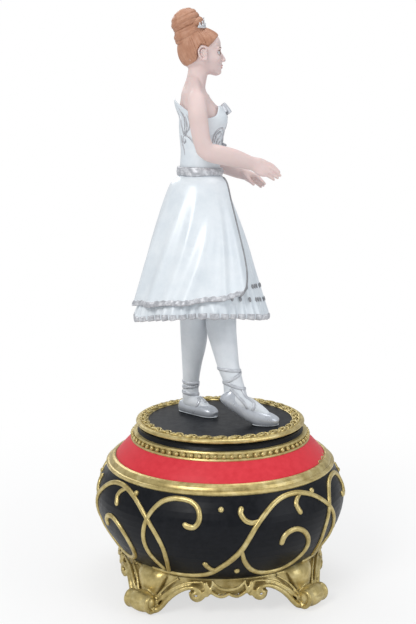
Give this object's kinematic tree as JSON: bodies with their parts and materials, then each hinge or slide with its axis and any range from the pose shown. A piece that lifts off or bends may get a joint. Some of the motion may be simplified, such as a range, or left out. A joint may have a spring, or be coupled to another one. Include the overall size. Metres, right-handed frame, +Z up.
{
  "type": "musical jewellery box with rotating ballerina",
  "caption": "Round scroll-footed jewellery box with a lift-off lid, a turntable carrying a standing ballerina, a jewel tray and a pinned-cylinder musical movement.",
  "frame": {"origin": "on the table, under the bowl's axis", "axes": "+Z up along the turntable's axis; +X is the way the figure faces at rest; +Y is the figure's left side"},
  "size_m": [0.1338, 0.1338, 0.2995],
  "materials": {
    "gold_paint": "aged pale-gold paint over a cast scroll relief, darker in the recesses",
    "black_satin": "satin near-black lacquer with a blue sheen",
    "red_satin": "satin coral-red lacquer",
    "dress_white": "glossy white glaze over cast resin",
    "silver_trim": "mottled silver paint",
    "skin_matte": "matte pale-pink painted resin",
    "hair_copper": "matte copper painted resin with combed grooves",
    "tights_white": "satin white-grey painted resin",
    "shoe_pearl": "pearl silver painted resin",
    "tray_flock": "black flocked lining",
    "movement_brass": "turned brass",
    "movement_steel": "brushed steel",
    "bush_nylon": "natural nylon"
  },
  "bodies": {
    "base": {"bowl": "black_satin", "bowl_scrollwork": "gold_paint", "shoulder_band": "gold_paint", "stand_ring": "gold_paint", "shell_aprons": "gold_paint", "foot_front_right": "gold_paint", "foot_back_right": "gold_paint", "foot_back_left": "gold_paint", "foot_front_left": "gold_paint", "jewel_tray": "tray_flock", "guide_tube": "movement_brass", "bedplate": "movement_steel", "comb_base": "movement_brass", "comb": "movement_steel", "movement_screws": "movement_steel", "cylinder_bracket_inner": "movement_steel", "cylinder_bracket_outer": "movement_steel", "governor_frame": "movement_steel"},
    "winding_key_body": {"winding_key": "movement_brass", "spring_arbor": "movement_steel"},
    "barrel": {"spring_barrel": "movement_brass", "drive_shaft": "movement_steel"},
    "cylinder": {"pin_cylinder": "movement_brass", "cylinder_pinion": "movement_brass", "cylinder_wheel": "movement_brass"},
    "governor": {"governor_shaft": "movement_brass", "worm_wheel": "movement_brass"},
    "fly": {"governor_worm": "movement_steel", "air_brake": "movement_steel"},
    "lid": {"lid_shoulder": "red_satin", "bead_ring": "gold_paint", "band_beads": "gold_paint", "lid_neck": "black_satin", "spindle_bush": "movement_brass"},
    "turntable": {"top_disc": "black_satin", "rim_moulding": "gold_paint", "turntable_spindle": "movement_steel", "slip_washer": "bush_nylon", "retaining_clip": "movement_steel", "shoe_front": "shoe_pearl", "shoe_rear": "shoe_pearl", "leg_front": "tights_white", "leg_rear": "tights_white", "underskirt": "dress_white", "overskirt": "dress_white", "waist_sash": "silver_trim", "bodice": "dress_white", "bust_rosette": "silver_trim", "shoulders": "skin_matte", "head": "skin_matte", "hair": "hair_copper", "hair_bun": "hair_copper", "tiara": "silver_trim", "arm_right": "skin_matte", "arm_left": "skin_matte"}
  },
  "joints": [
    {"name": "lid_lift", "type": "slide", "parent": "base", "child": "lid", "axis": [0, 0, 1], "range_m": [0, 0.06]},
    {"name": "turntable_spin", "type": "hinge", "parent": "lid", "child": "turntable", "pos_m": [0, 0, 0.0868], "axis": [0, 0, 1], "continuous": true},
    {"name": "barrel_spin", "type": "hinge", "parent": "base", "child": "barrel", "pos_m": [0, 0, 0.03], "axis": [0, 0, 1], "continuous": true},
    {"name": "cylinder_spin", "type": "hinge", "parent": "base", "child": "cylinder", "pos_m": [0.0237, 0, 0.0335], "axis": [1, 0, 0], "continuous": true},
    {"name": "governor_spin", "type": "hinge", "parent": "base", "child": "governor", "pos_m": [0.036, 0.01, 0.0335], "axis": [1, 0, 0], "continuous": true},
    {"name": "fly_spin", "type": "hinge", "parent": "base", "child": "fly", "pos_m": [0.037, 0.016, 0.0335], "axis": [0, 0, 1], "continuous": true},
    {"name": "winding_key_turn", "type": "hinge", "parent": "base", "child": "winding_key_body", "pos_m": [0, 0, 0.012], "axis": [0, 0, 1], "continuous": true}
  ],
  "couplings": [
    {"joint": "barrel_spin", "follows": "turntable_spin", "ratio": 1},
    {"joint": "cylinder_spin", "follows": "turntable_spin", "ratio": 1.6667},
    {"joint": "governor_spin", "follows": "turntable_spin", "ratio": -5},
    {"joint": "fly_spin", "follows": "turntable_spin", "ratio": 120}
  ]
}
